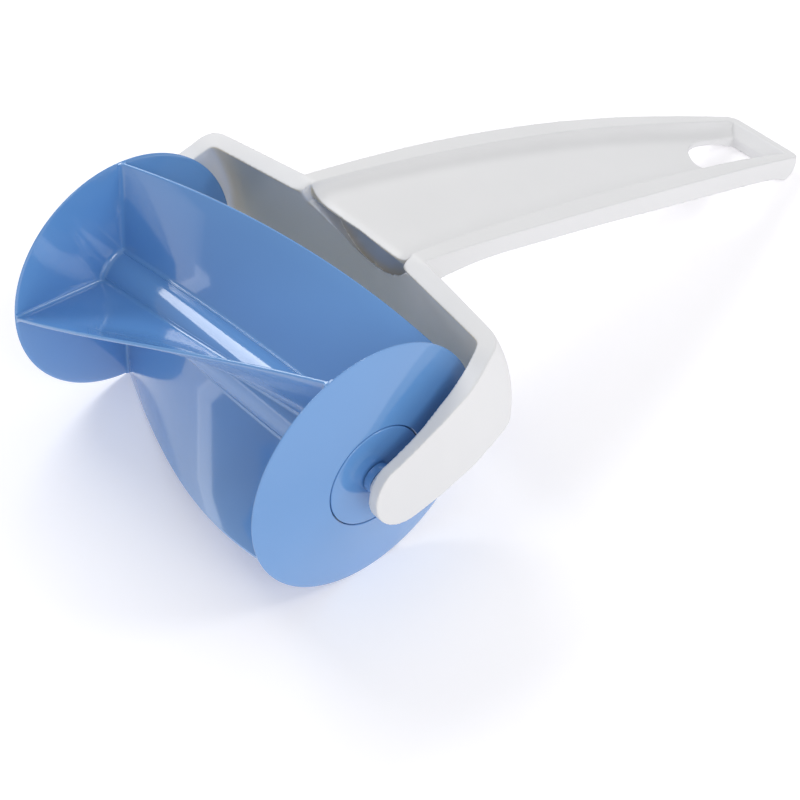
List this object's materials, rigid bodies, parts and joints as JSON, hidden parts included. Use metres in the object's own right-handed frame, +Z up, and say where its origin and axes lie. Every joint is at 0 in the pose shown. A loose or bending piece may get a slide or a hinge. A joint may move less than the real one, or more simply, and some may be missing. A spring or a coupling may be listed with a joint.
{
  "type": "rolling dough cutter",
  "caption": "Hand-held rolling dough cutter: a roller of helical blades between two sharp discs, spinning in a one-piece forked handle with a hang slot.",
  "frame": {"origin": "centre of the tool's footprint, on the surface it rests on: the roller's discs and the handle's end both stand on Z = 0", "axes": "+X along the roller's axis, +Y from the roller towards the handle's end, +Z up"},
  "size_m": [0.135, 0.2522, 0.075],
  "materials": {
    "white_plastic": "satin moulded white plastic",
    "blue_plastic": "glossy moulded blue plastic",
    "axle_steel": "drawn steel rod"
  },
  "bodies": {
    "handle": {"handle_frame": "white_plastic", "axle_rod": "axle_steel", "thrust_washer_left": "blue_plastic", "thrust_washer_right": "blue_plastic"},
    "roller": {"roller_body": "blue_plastic", "hub_cap_left": "blue_plastic", "hub_cap_right": "blue_plastic"}
  },
  "joints": [
    {"name": "roller_spin", "type": "hinge", "parent": "handle", "child": "roller", "pos_m": [0, -0.08865, 0.0375], "axis": [1, 0, 0], "continuous": true}
  ]
}
